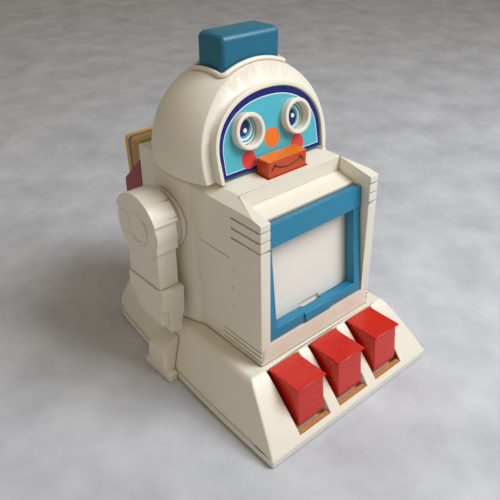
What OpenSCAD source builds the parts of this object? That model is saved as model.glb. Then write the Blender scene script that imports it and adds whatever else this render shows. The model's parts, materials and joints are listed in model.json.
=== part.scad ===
// Free-standing plastic toy robot with three quiz keys, a picture window, press hat and press mouth.
// Millimetres. +Z is up, the robot faces -Y, and the origin is under the middle of its footprint.
// Inside the modules, y is the distance behind the front rim of the base.

/* [Base] */
// Width of the base across its front rim
base_w = 162; // [150:1:190]
// Length of the base from front rim to rear rim
base_l = 224; // [215:1:260]
// Height of the base's flat top
base_h = 43; // [40:1:52]
// Run of the sloping front, from rim to top crease
front_run = 35.5; // [32:0.5:40]
// How far each side draws in from the rim to the top
side_draw = 12.5; // [8:0.5:16]
// How far each side draws in from the front to the rear
rear_draw = 17; // [8:0.5:22]
// Wall of the large mouldings
wall = 2.4; // [1.8:0.1:3]
// Height of the rim of the bottom tray
lip_h = 5; // [4:0.5:7]
// Height that the feet lift the tray
foot_h = 1; // [0.8:0.1:3]

/* [Keys] */
// Distance from one key to the next
key_pitch = 38.8; // [34:0.1:42]
// Width of the pad of a key
key_w = 26; // [20:0.5:28]
// Length of the pad of a key
key_l = 28; // [24:0.5:31]
// Gap between a key and its well
key_gap = 1.6; // [1:0.1:2.4]
// How far a key turns when pressed, in degrees
key_turn = 8; // [4:0.5:9]
// Diameter of the shaft that the keys turn on
key_shaft_d = 3; // [2:0.1:5]

/* [Torso] */
// Width of the square front of the torso
torso_w = 108; // [104:1:114]
// Distance of the torso front behind the base rim
torso_y = 40.5; // [39:0.5:44]
// Height of the torso above the base, to the edge of its deck
torso_h = 107.8; // [104:0.5:116]
// How far the torso front leans back over its height
torso_lean = 2.4; // [0:0.1:5]
// Height of the crown of the deck above its edge
deck_crown = 6.2; // [4:0.1:8]
// Radius of the round rear of the torso where it meets the base
barrel_r = 61; // [58:0.5:64]
// Draft of the round rear over its height
barrel_draft = 4; // [2:0.5:6]

/* [Window] */
// Width of the window frame
window_w = 91; // [84:0.5:93]
// Height of the window frame along its lean
window_h = 82; // [76:0.5:84]
// Depth of the window frame
window_d = 8; // [6:0.5:10]
// Width of each stile of the window frame
stile_w = 6.8; // [5:0.1:9]
// Height of the header of the window frame
header_h = 15; // [10:0.5:18]
// Height of the sill of the window frame
sill_h = 7.2; // [5:0.1:9]
// Lean of the window frame, in degrees
window_lean = 6.5; // [3:0.5:9]
// Gap round the window frame
window_gap = 0.5; // [0.4:0.1:1]

/* [Head] */
// Radius of the dome
dome_r = 61.9; // [60:0.1:66]
// Distance of the dome's centre behind the base rim
dome_y = 122.2; // [120:0.5:126]
// Height of the dome's centre above the deck
dome_rise = 4.5; // [3:0.5:6]
// Lean of the face, in degrees
face_lean = 12; // [8:0.5:14]
// Half width of the face plate
face_hw = 44; // [42:0.5:46]
// Distance between the two eyes
eye_pitch = 42; // [40:1:44]
// Bore of an eye bezel
eye_bore_d = 18; // [16:0.5:19]
// Outer diameter of an eye bezel
bezel_d = 23.8; // [22:0.2:26]
// How far an eye bezel stands out of the face plate
bezel_proud = 6; // [4:0.5:8]

/* [Hat and mouth] */
// Width of the hat
hat_w = 48.8; // [40:0.2:52]
// Depth of the hat
hat_d = 25.5; // [20:0.5:28]
// Height of the hat above its collar
hat_h = 21; // [18:0.5:24]
// Travel of the hat when pressed
hat_travel = 12; // [8:0.5:13]
// Width of the mouth button
mouth_w = 34.8; // [30:0.2:38]
// Depth of the mouth button
mouth_d = 11.6; // [9:0.2:12]
// Height of the mouth button above the deck
mouth_h = 10.4; // [8:0.2:12]
// Travel of the mouth button when pressed
mouth_travel = 4; // [2:0.5:5]
// Gap round the hat and the mouth button
button_gap = 0.8; // [0.5:0.1:1.2]

/* [Arms] */
// Width of an arm
arm_w = 18; // [15:0.5:20]
// Radius of the shoulder cap
shoulder_r = 25.5; // [22:0.5:28]
// Gap between the torso side rings and the arm
arm_gap = 0.6; // [0.4:0.1:1.5]
// Diameter of the arm's pivot shaft
pivot_d = 8; // [6:0.5:10]

/* [Card rack] */
// Width of a quiz card
card_w = 76; // [70:1:80]
// Height of a quiz card
card_h = 62; // [50:1:70]
// Thickness of a quiz card
card_t = 1.3; // [0.8:0.1:1.4]
// Distance from one card to the next
card_pitch = 1.6; // [1.5:0.1:1.9]

/* [Gears] */
// Teeth of each eye gear
eye_teeth = 18; // [16:1:20]
// Teeth of the drive gear
drive_teeth = 24; // [22:1:26]
// Free movement between the teeth
backlash = 0.3; // [0.2:0.05:0.5]

/* [Hidden] */
$fn = 64;
// Fits
run_fit = 0.05;
part_gap = 0.4;
over = 1;
// Colours
cream = "#ECE8DC";
blue = "#2089B0";
red = "#E03426";
steel = "silver";
// Base
base_corner = 26;
front_corner = 1.4;
tray_t = 2.2;
tray_proud = 0.5;
rear_run = 17;
base_crown = 5;
rim_z = foot_h;
// Keys
key_top = base_h - 0.5;
key_back = front_run + 0.7;
key_front = key_back - key_l;
key_toe = 14;
key_pivot_y = 52;
key_pivot_z = base_h - 12;
key_hub_r = key_shaft_d / 2 + 2.6;
key_spring_y = 24;
key_spring_z = 12;
key_shaft_l = 3 * key_pitch + 8;
key_drop = (key_pivot_y - key_front) * sin(key_turn);
well_z = key_toe - key_drop - part_gap;
stop_z = well_z + 1.4;
// Torso
torso_hw = torso_w / 2;
edge_z = base_h + torso_h;
deck_z = edge_z + deck_crown;
crown_z = edge_z + deck_crown * 0.8;
hood_y = 72;
split_y = 112;
barrel_y = 130;
barrel_top_r = barrel_r - barrel_draft;
crown_run = 8;
groove_w = 1.4;
groove_d = 0.9;
pillar_grooves = [7.5, 14.5, 21.5];
sill_grooves = [2.5, 6.5, 10.5];
vents = [36.5, 50.5, 64];
// Window
frame_z = base_h + 16;
frame_y = torso_y + 1.2;
well_hw = window_w / 2 + window_gap;
well_wall = 2;
header_y = window_h * sin(window_lean);
header_top = window_h * cos(window_lean);
header_t = 5;
hinge_y = frame_y + header_y + header_t / 2;
hinge_z = frame_z + header_top - header_t / 2;
pin_r = 1.2;
pin_l = 8;
panel_t = 1.2;
panel_back = window_d + panel_t + 1;
chute_y = hood_y - 0.5;
chute_z = hinge_z + 7;
// Head
dome_z = deck_z + dome_rise;
face_y = dome_y - 33.9;
face_base = deck_z + 1.7;
face_arch = 35;
face_spring = 14;
rim_ahead = 2;
rim_w = 3.2;
rim_back = 4;
collar_t = 2.6;
collar_w = 4.2;
neck_r = 51;
flange_r = 46;
head_screw_r = 48.5;
seam_y = dome_y + 6;
face_t = 2.4;
eye_up = 26.6;
eye_disc_r = eye_bore_d / 2 - 0.4;
eye_recess = 0.2;
eye_disc_t = 2;
// Gears
gear_module = eye_pitch / (eye_teeth + drive_teeth);
drive_r = drive_teeth * gear_module / 2;
eye_layer = 6;
rack_layer = 10.5;
gear_t = 3;
arbor_r = 2;
rack_wide = 8;
gear_plate_w = 21;
plate_hw = eye_pitch / 2 + 13;
plate_posts = [[3 - plate_hw, -14], [plate_hw - 3, -14], [0, -drive_r - 6]];
// Hat
hat_y = dome_y + 1.6;
hat_z = dome_z + dome_r - 3.5;
hat_skirt = 8;
hat_wall = 2.2;
guide_y = hat_y + 2.5;
guide_r = 4;
sleeve_r = 6.4;
shelf_z = deck_z + 11;
sleeve_z = hat_z - hat_travel - 5;
hat_inner_z = hat_z + hat_h - hat_wall;
// Mouth
mouth_y = face_y - 0.6 - mouth_d;
mouth_skirt = mouth_travel + 2;
mouth_stem_r = 3;
mouth_guide_z = deck_z - 18;
// Arms
shoulder_y = 135.5;
shoulder_z = base_h + 75.7;
arm_x = barrel_top_r + 7.4;
rings_x = arm_x - arm_gap;
boss_r = 12;
// Cards
box_hw = 40;
rack_y = barrel_y + barrel_r + 2;
rack_z = base_h + 43;
rack_wall = 2;
card_count = 12;
rack_l = card_count * card_pitch + rack_wall + 3;
card_lean = 3;

// Everything is placed from the front rim, then moved so that the origin is in the middle.
module from_rim() translate([0, -base_l / 2, 0]) children();

// Places children in the plane of the face: x across, y up the face, z out of the back of it.
module in_face(up = 0, deep = 0)
  translate([0, face_y, face_base]) rotate([90 - face_lean, 0, 0]) translate([0, up, -deep])
    children();

// Places children in the plane of the window frame: x across, y up the frame, z out of the front.
module in_window() translate([0, frame_y, frame_z]) rotate([90 - window_lean, 0, 0]) children();

function arc(cx, cy, r, a0, a1, n) =
  [for (i = [0:n]) let(a = a0 + (a1 - a0) * i / n) [cx + r * cos(a), cy + r * sin(a)]];

module box(lo, hi) translate(lo) cube(hi - lo);

module mirrored(side) mirror([side < 0 ? 1 : 0, 0, 0]) children();

// A closed coil of round wire standing on the plane z = 0.
module coil(r, wire, height, turns) {
  steps = 10;
  sides = 6;
  rise = height - wire;
  count = turns * steps;
  points = [for (i = [0:count], j = [0:sides - 1])
    let(a = 360 * i / steps, b = 360 * j / sides, q = r + wire / 2 * cos(b))
    [q * cos(a), q * sin(a), wire / 2 + rise * i / count + wire / 2 * sin(b)]];
  last = count * sides;
  faces = concat(
    [for (j = [1:sides - 2]) [0, j, j + 1]],
    [for (i = [0:count - 1], j = [0:sides - 1]) let(k = (j + 1) % sides)
      [i * sides + j, (i + 1) * sides + j, (i + 1) * sides + k]],
    [for (i = [0:count - 1], j = [0:sides - 1]) let(k = (j + 1) % sides)
      [i * sides + j, (i + 1) * sides + k, i * sides + k]],
    [for (j = [1:sides - 2]) [last, last + j + 1, last + j]]);
  polyhedron(points, faces);
}

// Half width of the base at a distance y behind its rim.
function side_at(y, hw) = hw - rear_draw * pow(y / base_l, 2);

function base_outline(y0, y1, hw, corner) = let(c = front_corner, side = side_at(y1 - corner, hw)) concat(
  [for (i = [0:12]) let(y = y0 + c + (y1 - corner - y0 - c) * i / 12) [side_at(y, hw), y]],
  arc(side - corner - 1, y1 - corner, corner, 30, 90, 6),
  arc(corner + 1 - side, y1 - corner, corner, 90, 150, 6),
  [for (i = [12:-1:0]) let(y = y0 + c + (y1 - corner - y0 - c) * i / 12) [-side_at(y, hw), y]],
  arc(c - side_at(y0, hw), y0 + c, c, 210, 270, 2),
  arc(side_at(y0, hw) - c, y0 + c, c, 270, 330, 2));

// A flat layer of the base: its level, how much of the slopes it has climbed, and its own inset.
module base_layer(z, climbed, inset, t = 0.02) translate([0, 0, z]) linear_extrude(t)
  polygon(base_outline(front_run * climbed + inset, base_l - rear_run * climbed - inset,
    base_w / 2 - side_draw * climbed - inset, base_corner - min(inset, 3)));

// The tray's outline from one level to another.
module tray(z0, z1, inset) base_layer(z0, 0, inset, z1 - z0);

// Outer form of the base above its tray, or its cavity when inset is a wall.
module base_form(inset) hull() {
  rise = base_h - rim_z - lip_h;
  base_layer(rim_z + lip_h - (inset > tray_proud ? over : 0), 0, inset);
  for (share = [0.25, 0.5, 0.75])
    base_layer(rim_z + lip_h + rise * share - inset / 2, pow(share, 1.12), inset);
  for (a = [0, 30, 60]) base_layer(base_h - base_crown + base_crown * sin(a) - inset,
    pow(1 - base_crown / rise * (1 - sin(a)), 1.12), inset + base_crown * 0.5 * (1 - cos(a)));
  base_layer(base_h - 0.02 - inset, 1, inset + base_crown * 0.5);
}

function key_x(i) = (i - 1) * key_pitch;

base_posts = [[-62, 24], [62, 24], [-56, 168], [56, 168]];
torso_posts = [[-38, 66], [38, 66], [-34, 152], [34, 152]];

module base_shell() color(cream) from_rim() difference() {
  union() {
    difference() {
      base_form(tray_proud);
      base_form(wall);
    }
    for (p = base_posts) translate([p[0], p[1], rim_z + tray_t]) cylinder(r = 4, h = 12);
    intersection() {
      for (p = base_posts) translate([p[0], p[1], rim_z + tray_t + 8]) cylinder(r = 4, h = base_h);
      base_form(tray_proud);
    }
    for (x = [-1.5, -0.5, 0.5, 1.5] * key_pitch)
      box([x - 1.2, key_pivot_y - 6, key_pivot_z - 5], [x + 1.2, key_pivot_y + 6, base_h - wall + 0.2]);
  }
  for (i = [0:2]) translate([key_x(i), 0, 0])
    box([-key_w / 2 - key_gap, key_front - 5, well_z],
      [key_w / 2 + key_gap, key_back + 0.8, base_h + over]);
  translate([0, key_pivot_y, key_pivot_z]) rotate([0, 90, 0])
    cylinder(d = key_shaft_d, h = key_shaft_l, center = true);
  for (p = base_posts) translate([p[0], p[1], 0]) cylinder(r = 1.3, h = 16);
  for (p = torso_posts) translate([p[0], p[1], base_h - 6]) cylinder(r = 1.7, h = 10);
}

module base_plate() color(cream) from_rim() difference() {
  union() {
    difference() {
      tray(rim_z, rim_z + lip_h, 0);
      tray(rim_z + tray_t, rim_z + lip_h + over, wall);
    }
    for (i = [0:2]) translate([key_x(i), key_spring_y, rim_z]) cylinder(r = 2, h = key_spring_z - rim_z);
  }
  for (p = base_posts) translate([p[0], p[1], 0]) cylinder(r = 1.7, h = 10);
  for (p = base_posts) translate([p[0], p[1], 0]) cylinder(r = 3.2, h = rim_z + 1.2);
}

module rubber_feet() color("#D9D6CC") from_rim()
  for (p = [[-66, 12], [66, 12], [-52, 196], [52, 196]]) translate([p[0], p[1], 0]) {
    cylinder(r1 = 5.2, r2 = 6, h = rim_z);
  }

module screw(head_r, shank_r, length) difference() {
  union() {
    cylinder(r = head_r, h = 1.6);
    translate([0, 0, 1]) cylinder(r = shank_r, h = length - 1);
  }
  for (a = [0, 90]) rotate(a) box([-head_r * 0.6, -0.4, -over], [head_r * 0.6, 0.4, 0.8]);
}

module base_screws() color(steel) from_rim() for (p = base_posts)
  translate([p[0], p[1], rim_z - 0.4]) screw(3, 1.25, 13);

module foot_block(side) color(cream) from_rim() mirrored(side) difference() {
  intersection() {
    rotate([90, 0, 90]) linear_extrude(base_w / 2 + 3.5)
      polygon([[107, 0], [139, 0], [139, 6], [134, 8], [131, 31], [115, 31], [111.5, 6.5], [107, 6]]);
    translate([0, 145, 0]) rotate([90, 0, 0]) linear_extrude(45)
      polygon([[60, 0], [base_w / 2 + 3.5, 0], [base_w / 2 + 3.5, 24.5],
        [base_w / 2 - 8.5, 30.5], [60, 30.5]]);
  }
  base_form(tray_proud);
  tray(0, rim_z + lip_h, 0);
  box([0, 100, -over], [base_w / 2 - 6, 145, rim_z + over]);
}

module foot_block_left() foot_block(-1);
module foot_block_right() foot_block(1);

// Side view of a key: pad, front face, toe, and the arm that reaches back to the shaft.
module key(i) color(red) from_rim() translate([key_x(i), 0, 0]) difference() {
  union() {
    translate([-key_w / 2 + 0.9, 0, 0]) rotate([90, 0, 90]) linear_extrude(key_w - 1.8)
      polygon([[key_front + 2, key_top - 1], [key_back, key_top - 1], [key_back, key_top - 6],
        [key_back - 4, key_toe - 3], [key_front - 0.6, key_toe - 3], [key_front - 1, key_toe]]);
    translate([-key_w / 2, 0, 0]) rotate([90, 0, 90]) linear_extrude(key_w)
      polygon([[key_front, key_top], [key_back, key_top], [key_back, key_top - 2], [key_front, key_top - 2]]);
    box([-key_w / 2 + 2, key_back - 5, key_pivot_z - 3], [key_w / 2 - 2, key_pivot_y, key_pivot_z + 3]);
    translate([2 - key_w / 2, key_pivot_y, key_pivot_z]) rotate([0, 90, 0])
      cylinder(r = key_hub_r, h = key_w - 4);
  }
  translate([0, key_pivot_y, key_pivot_z]) rotate([0, 90, 0])
    cylinder(r = key_shaft_d / 2 + run_fit, h = base_w, center = true);
  box([-key_w / 2 + 3, key_front + 4, 0], [key_w / 2 - 3, key_back - 4, key_top - 4]);
}

// Foam stop at the front of a key's well.
module key_stops() color("#D9924A") from_rim() for (i = [0:2])
  translate([key_x(i), 0, 0]) rotate([90, 0, 90]) linear_extrude(key_w + 2 * key_gap - 0.4, center = true)
    polygon([[key_front - 3.2, rim_z + tray_t], [key_front - 1.3, rim_z + tray_t], [key_front - 1.3, stop_z],
      [key_front - 4.8, stop_z], [key_front - 4.8, well_z + 0.1], [key_front - 3.2, well_z + 0.1]]);

module key_left() key(0);
module key_middle() key(1);
module key_right() key(2);

module key_shaft() color(steel) from_rim() translate([0, key_pivot_y, key_pivot_z])
  rotate([0, 90, 0]) cylinder(d = key_shaft_d, h = key_shaft_l, center = true);

module key_spring(i) color(steel) from_rim() translate([key_x(i), key_spring_y, rim_z + tray_t + 0.1])
  coil(3.4, 0.8, key_top - 4.2 - rim_z - tray_t - 0.1, 8);

module key_spring_left() key_spring(0);
module key_spring_middle() key_spring(1);
module key_spring_right() key_spring(2);

// A point of the window's lean, as [y, z], so far up the frame and so far behind its front.
function lean_point(up, deep) = [frame_y + up * sin(window_lean) + deep * cos(window_lean),
  frame_z + up * cos(window_lean) - deep * sin(window_lean)];

function front_at(z) = torso_y + torso_lean * (z - base_h) / torso_h;

// Extrudes an outline drawn in y and z across the width of the robot.
module across(half_width) rotate([90, 0, 90]) linear_extrude(2 * half_width, center = true) children();

// Outer form of the torso, or its cavity when inset is a wall.
module torso_form(inset) {
  low = base_h - (inset > 0 ? over : 0);
  intersection() {
    across(torso_hw) polygon([[front_at(base_h) + inset, low], [barrel_y, low], [barrel_y, deck_z - inset],
      [face_y, deck_z - inset], [hood_y, crown_z - inset], [front_at(edge_z) + inset, edge_z - 1.6 - inset]]);
    translate([0, barrel_y, 0]) rotate([90, 0, 0]) linear_extrude(barrel_y)
      polygon([[inset - torso_hw, low], [torso_hw - inset, low], [torso_hw - inset, edge_z - inset],
        [torso_hw - crown_run, crown_z - inset], [torso_hw - 2 * crown_run, deck_z - inset],
        [2 * crown_run - torso_hw, deck_z - inset], [crown_run - torso_hw, crown_z - inset],
        [inset - torso_hw, edge_z - inset]]);
  }
  translate([0, barrel_y, 0]) rotate_extrude()
    polygon([[0, low], [barrel_r - inset, low], [barrel_top_r - inset, edge_z - 1 - inset],
      [barrel_top_r - 0.8 - inset, edge_z + 0.6 - inset], [barrel_top_r - crown_run, crown_z - inset],
      [barrel_top_r - 2 * crown_run, deck_z - inset], [0, deck_z - inset]]);
}

// Side outline of the space that the window frame, its panel and the chute above it take up.
window_space = [[0, frame_z - window_gap], lean_point(-window_gap, panel_back),
  lean_point(window_h - 4, panel_back), [hinge_y + 4, hinge_z + 1.2], [hinge_y + 4, hinge_z + 3.2],
  [chute_y, chute_z], [chute_y, deck_z + over], [0, deck_z + over]];

// The same outline with a wall behind and below it.
window_lining = [[0, frame_z - window_gap - well_wall],
  lean_point(-window_gap - well_wall, panel_back + well_wall),
  lean_point(window_h - 4, panel_back + well_wall), [chute_y + well_wall, chute_z - well_wall],
  [chute_y + well_wall, deck_z + over], [0, deck_z + over]];

module neck_ring() translate([0, dome_y, deck_z - 7]) difference() {
  cylinder(r = neck_r, h = 7);
  translate([0, 0, -over]) cylinder(r = flange_r, h = 7 + 2 * over);
}

module torso_shell() difference() {
  union() {
    difference() {
      torso_form(0);
      torso_form(wall);
    }
    intersection() {
      torso_form(0);
      across(well_hw + well_wall) polygon(window_lining);
    }
    intersection() {
      neck_ring();
      box([-neck_r, face_y + 3, 0], [neck_r, base_l, deck_z]);
    }
    for (p = torso_posts) {
      translate([p[0], p[1], base_h]) cylinder(r = 4, h = 12);
      intersection() {
        torso_form(0);
        box([min(p[0], sign(p[0]) * barrel_r), p[1] - 1, base_h],
          [max(p[0], sign(p[0]) * barrel_r), p[1] + 1, base_h + 10]);
      }
    }
  }
  across(well_hw) polygon(window_space);
  for (p = torso_posts) translate([p[0], p[1], base_h - over]) cylinder(r = 1.3, h = 11);
  for (a = [0, 90, 180]) translate([0, dome_y, deck_z - 10]) rotate(a) translate([head_screw_r, 0, 0])
    cylinder(r = 1.7, h = 20);
}

module side_cuts() {
  for (g = pillar_grooves) {
    box([well_hw - over, 0, edge_z - g],
      [torso_hw + over, front_at(edge_z - g) + groove_d, edge_z - g + groove_w]);
    box([torso_hw - groove_d, 0, edge_z - g], [torso_hw + over, hood_y - 2, edge_z - g + groove_w]);
  }
  for (g = sill_grooves)
    box([torso_hw - groove_d, 0, base_h + g], [torso_hw + over, 80, base_h + g + 1]);
  for (g = vents) translate([0, hood_y - 3, 0]) rotate([90, 0, 0]) linear_extrude(21)
    polygon([[torso_hw + over, base_h + g], [torso_hw - 0.8, base_h + g], [torso_hw, base_h + g - 6],
      [torso_hw + over, base_h + g - 6]]);
  box([torso_hw - 0.5, hood_y, base_h + 70.8], [torso_hw + over, split_y - 9, base_h + 71.6]);
}

module torso_front() color(cream) from_rim() difference() {
  intersection() {
    torso_shell();
    box([-base_w, 0, 0], [base_w, split_y, 2 * deck_z]);
  }
  for (side = [-1, 1]) mirrored(side) {
    side_cuts();
    translate([well_hw - over, hinge_y, hinge_z]) rotate([0, 90, 0]) cylinder(r = pin_r, h = pin_l);
  }
  box([-mouth_w / 2 - button_gap, mouth_y - button_gap, crown_z - 8],
    [mouth_w / 2 + button_gap, mouth_y + mouth_d + button_gap, deck_z + over]);
}

module torso_rear() color(cream) from_rim() difference() {
  intersection() {
    torso_shell();
    box([-base_w, split_y, 0], [base_w, base_l, 2 * deck_z]);
  }
  translate([0, shoulder_y, shoulder_z]) rotate([0, 90, 0])
    cylinder(r = pivot_d / 2 + run_fit, h = base_w, center = true);
}

module torso_screws() color(steel) from_rim() for (p = torso_posts)
  translate([p[0], p[1], base_h - wall - 1.6]) screw(3, 1.3, 12);

module window_frame() color(blue) from_rim() difference() {
  in_window() difference() {
    union() {
      box([-window_w / 2, 0, -window_d], [window_w / 2, window_h - header_h, 0]);
      box([-window_w / 2, window_h - header_h, -header_t], [window_w / 2, window_h, 0.8]);
      box([-13, 0.5, -1], [13, sill_h - 0.6, 1.6]);
    }
    box([stile_w - window_w / 2, sill_h, -window_d - over],
      [window_w / 2 - stile_w, window_h - header_h, over]);
    box([-9, sill_h - 2, -window_d - over], [9, sill_h + over, 2 - window_d]);
  }
  translate([0, hinge_y, hinge_z]) rotate([0, 90, 0])
    for (side = [-1, 1]) mirror([0, 0, side < 0 ? 1 : 0])
      translate([0, 0, window_w / 2 - pin_l / 2]) cylinder(r = pin_r + run_fit, h = pin_l);
}

module window_pins() color(steel) from_rim() translate([0, hinge_y, hinge_z]) rotate([0, 90, 0])
  for (side = [-1, 1]) mirror([0, 0, side < 0 ? 1 : 0])
    translate([0, 0, window_w / 2 - pin_l / 2 + 0.6]) cylinder(r = pin_r, h = pin_l - 0.6);

module picture_panel() color("#F3F0E8") from_rim() in_window() difference() {
  box([0.3 - well_hw, 0.4, run_fit - panel_back], [well_hw - 0.3, window_h - 5, panel_t - panel_back]);
  box([-10, sill_h - 2, -panel_back - over], [10, sill_h + 1.6, over]);
}

module mouth_button() color("#F08A1E") from_rim() {
  box([-mouth_w / 2, mouth_y, deck_z - mouth_skirt], [mouth_w / 2, mouth_y + mouth_d, deck_z + mouth_h]);
  box([-mouth_w / 2 - 1.6, mouth_y + 1, deck_z - mouth_skirt],
    [mouth_w / 2 + 1.6, mouth_y + mouth_d - 1, deck_z - mouth_skirt + 1.2]);
  translate([0, mouth_y + mouth_d / 2, mouth_guide_z - 2])
    cylinder(r = mouth_stem_r, h = deck_z - mouth_skirt - mouth_guide_z + 2.5);
}

module mouth_guide() color(cream) from_rim() difference() {
  union() {
    box([-22, chute_y + well_wall, mouth_guide_z], [22, chute_y + well_wall + 1.4, deck_z - 6]);
    box([-22, chute_y + well_wall, mouth_guide_z], [22, mouth_y + mouth_d + 2, mouth_guide_z + wall]);
  }
  translate([0, mouth_y + mouth_d / 2, mouth_guide_z - over])
    cylinder(r = mouth_stem_r + run_fit, h = wall + 2 * over);
}

module mouth_spring() color(steel) from_rim()
  translate([0, mouth_y + mouth_d / 2, mouth_guide_z + wall])
    coil(4.2, 0.7, deck_z - mouth_skirt - mouth_guide_z - wall - 0.1, 4);

// Outline of the face: almost straight sides that close in an arch, grown by a margin.
function face_outline(grow, low) = let(a = face_hw + 0.8 + grow, b = face_arch + grow, n = 2.2) concat(
  [[-face_hw + 0.5 - grow, low]],
  [for (i = [0:32]) let(t = 180 - 180 * i / 32, c = cos(t), s = sin(t))
    [a * sign(c) * pow(abs(c), 2 / n), face_spring + b * pow(abs(s), 2 / n)]],
  [[face_hw - 0.5 + grow, low]]);

// The half space behind a plane parallel to the face, above a level.
module behind_face(deep, level) intersection() {
  in_face(0, deep) box([-80, -40, -120], [80, 120, 0]);
  box([-80, 0, level], [80, base_l, 300]);
}

module dome_skin() {
  intersection() {
    translate([0, dome_y, dome_z]) sphere(r = dome_r, $fn = 96);
    behind_face(rim_back, deck_z);
  }
  intersection() {
    in_face(0, rim_back + wall) linear_extrude(rim_back + wall + rim_ahead) polygon(face_outline(rim_w, -10));
    behind_face(-rim_ahead, deck_z);
  }
}

module head_shell() difference() {
  union() {
    difference() {
      dome_skin();
      intersection() {
        translate([0, dome_y, dome_z]) sphere(r = dome_r - wall, $fn = 96);
        behind_face(rim_back + wall, deck_z + wall);
      }
    }
    for (a = [0, 90, 180]) translate([0, dome_y, deck_z]) rotate(a) translate([head_screw_r, 0, 0])
      cylinder(r = 3.4, h = 9);
  }
  in_face(0, 12) linear_extrude(20) polygon(face_outline(0.2, -10));
  translate([0, dome_y, deck_z - over]) cylinder(r = flange_r, h = wall + 2 * over);
  for (a = [0, 90, 180]) translate([0, dome_y, deck_z - over]) rotate(a) translate([head_screw_r, 0, 0])
    cylinder(r = 1.25, h = 9);
  hat_block(-button_gap, dome_z, 300);
}

module head_front() color(cream) from_rim() intersection() {
  head_shell();
  box([-80, 0, 0], [80, seam_y, 300]);
}

module head_rear() color(cream) from_rim() intersection() {
  head_shell();
  box([-80, seam_y, 0], [80, base_l, 300]);
}

module head_screws() color(steel) from_rim() for (a = [0, 90, 180])
  translate([0, dome_y, deck_z - 8.6]) rotate(a) translate([head_screw_r, 0, 0]) screw(2.8, 1.25, 14);

module face_plate() color("#4CB4C6") from_rim() {
  difference() {
    in_face(0, face_t) linear_extrude(face_t) polygon(face_outline(0, 0));
    for (side = [-1, 1]) in_face(eye_up, face_t + over) translate([side * eye_pitch / 2, 0, 0])
      cylinder(d = bezel_d, h = face_t + 2 * over);
  }
  for (p = plate_posts) in_face(eye_up + p[1], gear_plate_w) translate([p[0], 0, 0]) difference() {
    cylinder(r = 2.8, h = gear_plate_w - face_t);
    translate([0, 0, -over]) cylinder(r = 1.1, h = 9);
  }
}

module face_label() color("#151A6E") from_rim() difference() {
  in_face(0, 0) linear_extrude(0.3) polygon(face_outline(-0.4, 0.4));
  for (side = [-1, 1]) in_face(eye_up, over) translate([side * eye_pitch / 2, 0, 0])
    cylinder(d = bezel_d + 0.4, h = 3 * over);
}

module eye_bezel(side) color(cream) from_rim()
  in_face(eye_up, face_t + 1.2) translate([side * eye_pitch / 2, 0, 0]) difference() {
    union() {
      cylinder(d = bezel_d, h = face_t + 1.2 + bezel_proud);
      cylinder(d = bezel_d + 3, h = 1.2);
    }
    translate([0, 0, -over]) cylinder(d = eye_bore_d, h = face_t + bezel_proud + 4 * over);
  }

module eye_bezel_left() eye_bezel(-1);
module eye_bezel_right() eye_bezel(1);

module eye_disc(side) color("white") from_rim() in_face(eye_up, eye_recess + eye_disc_t)
  translate([side * eye_pitch / 2, 0, 0]) cylinder(r = eye_disc_r, h = eye_disc_t);

module eye_disc_left() eye_disc(-1);
module eye_disc_right() eye_disc(1);

function involute(r, a) = let(l = a * PI / 180)
  [r * (cos(a) + l * sin(a)), r * (sin(a) - l * cos(a))];

function turn(p, a) = [p[0] * cos(a) - p[1] * sin(a), p[0] * sin(a) + p[1] * cos(a)];

// A spur gear's outline with involute flanks of 20 degrees and a tooth at the start angle.
module gear(teeth, start) {
  pitch_r = teeth * gear_module / 2;
  base_r = pitch_r * cos(20);
  tip_r = pitch_r + gear_module * 0.9;
  root_r = pitch_r - gear_module * 1.15;
  tip_a = sqrt(pow(tip_r / base_r, 2) - 1) * 180 / PI;
  pitch_a = sqrt(pow(pitch_r / base_r, 2) - 1) * 180 / PI;
  half_a = 90 / teeth - backlash / pitch_r * 45 / PI + pitch_a - atan(pitch_a * PI / 180);
  flank = [for (i = [0:4]) involute(base_r, tip_a * i / 4)];
  points = [for (k = [0:teeth - 1]) let(c = start + 360 * k / teeth) each concat(
    [turn([root_r, 0], c - half_a)],
    [for (p = flank) turn(p, c - half_a)],
    [for (i = [4:-1:0]) turn([flank[i][0], -flank[i][1]], c + half_a)],
    [turn([root_r, 0], c + half_a)])];
  polygon(points);
}

// The start angle puts a gap between two teeth where the drive gear has a tooth.
module eye_gear(side, start) color("white") from_rim() {
  in_face(eye_up, eye_layer + gear_t) translate([side * eye_pitch / 2, 0, 0]) linear_extrude(gear_t)
    gear(eye_teeth, start);
  in_face(eye_up, gear_plate_w + 4) translate([side * eye_pitch / 2, 0, 0])
    cylinder(r = arbor_r, h = gear_plate_w + 4 - eye_recess - eye_disc_t);
}

module eye_gear_left() eye_gear(-1, drive_teeth % 2 == 0 ? 180 / eye_teeth : 0);
module eye_gear_right() eye_gear(1, 180 + 180 / eye_teeth);

module drive_gear() color("white") from_rim() {
  in_face(eye_up, eye_layer + gear_t + rack_wide) linear_extrude(gear_t + rack_wide) gear(drive_teeth, 0);
  in_face(eye_up, gear_plate_w + 4) cylinder(r = arbor_r, h = gear_plate_w + 4 - eye_layer);
}

module gear_plate() color("#C9C6BC") from_rim() in_face(eye_up, gear_plate_w + wall) difference() {
  box([-plate_hw, -drive_r - 10, 0], [plate_hw, 6, wall]);
  for (x = [-eye_pitch / 2, 0, eye_pitch / 2]) translate([x, 0, -over])
    cylinder(r = arbor_r + run_fit, h = wall + 2 * over);
  for (p = plate_posts) translate([p[0], p[1], -over]) cylinder(r = 1.4, h = wall + 2 * over);
}

module gear_plate_screws() color(steel) from_rim() for (p = plate_posts)
  in_face(eye_up + p[1], gear_plate_w + wall + 1.6) translate([p[0], 0, 0]) screw(2.6, 1.1, 10);

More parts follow.
